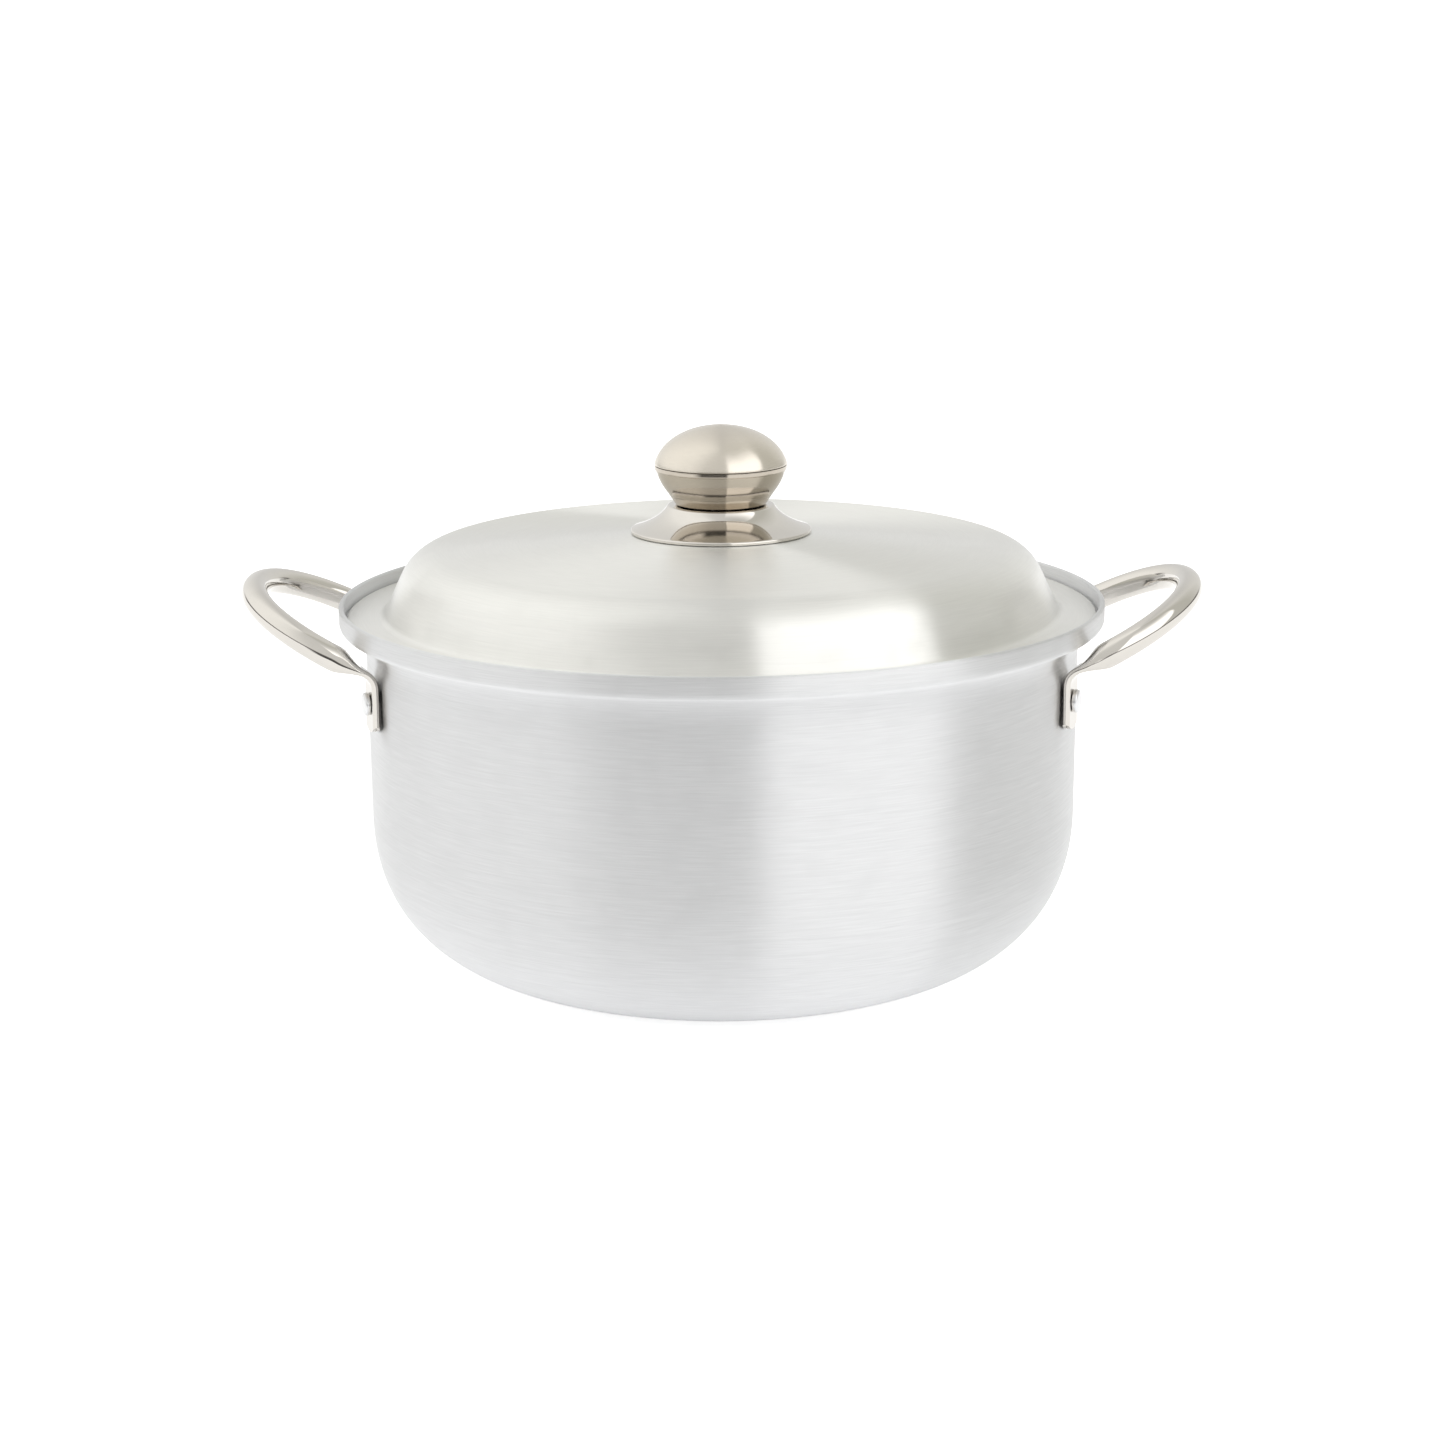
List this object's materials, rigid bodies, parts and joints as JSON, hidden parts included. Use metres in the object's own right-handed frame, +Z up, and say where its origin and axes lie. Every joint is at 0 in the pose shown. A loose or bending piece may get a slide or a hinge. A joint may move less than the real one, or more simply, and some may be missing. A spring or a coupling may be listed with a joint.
{
  "type": "lidded cooking pot",
  "caption": "Round aluminium cooking pot with a stepped rim, bent-tube side handles riveted on, and a domed lift-off lid with a hollow steel knob.",
  "frame": {"origin": "middle of the flat base, on the surface the pot stands on", "axes": "+Z up along the pot's axis; +X towards the right handle; the handles point along +X and -X"},
  "size_m": [0.3514, 0.28, 0.2011],
  "materials": {
    "spun_aluminium": "fine spun brushing round the axis",
    "lid_aluminium": "fine spun brushing round the axis",
    "polished_steel": "polished",
    "brushed_steel": "brushed round the axis",
    "rivet_aluminium": "satin, pressed",
    "fastener_steel": "zinc plated"
  },
  "bodies": {
    "pot": {"pot_body": "spun_aluminium", "right_handle": "polished_steel", "left_handle": "polished_steel", "right_front_rivet": "rivet_aluminium", "right_rear_rivet": "rivet_aluminium", "left_front_rivet": "rivet_aluminium", "left_rear_rivet": "rivet_aluminium"},
    "lid": {"lid_shell": "lid_aluminium", "knob_skirt": "polished_steel", "knob_cup": "brushed_steel", "knob_cap": "brushed_steel", "knob_nut": "fastener_steel", "screw_washer": "fastener_steel", "knob_screw": "fastener_steel"}
  },
  "joints": [
    {"name": "lid_lift", "type": "slide", "parent": "pot", "child": "lid", "axis": [0, 0, 1], "range_m": [0, 0.18]}
  ]
}
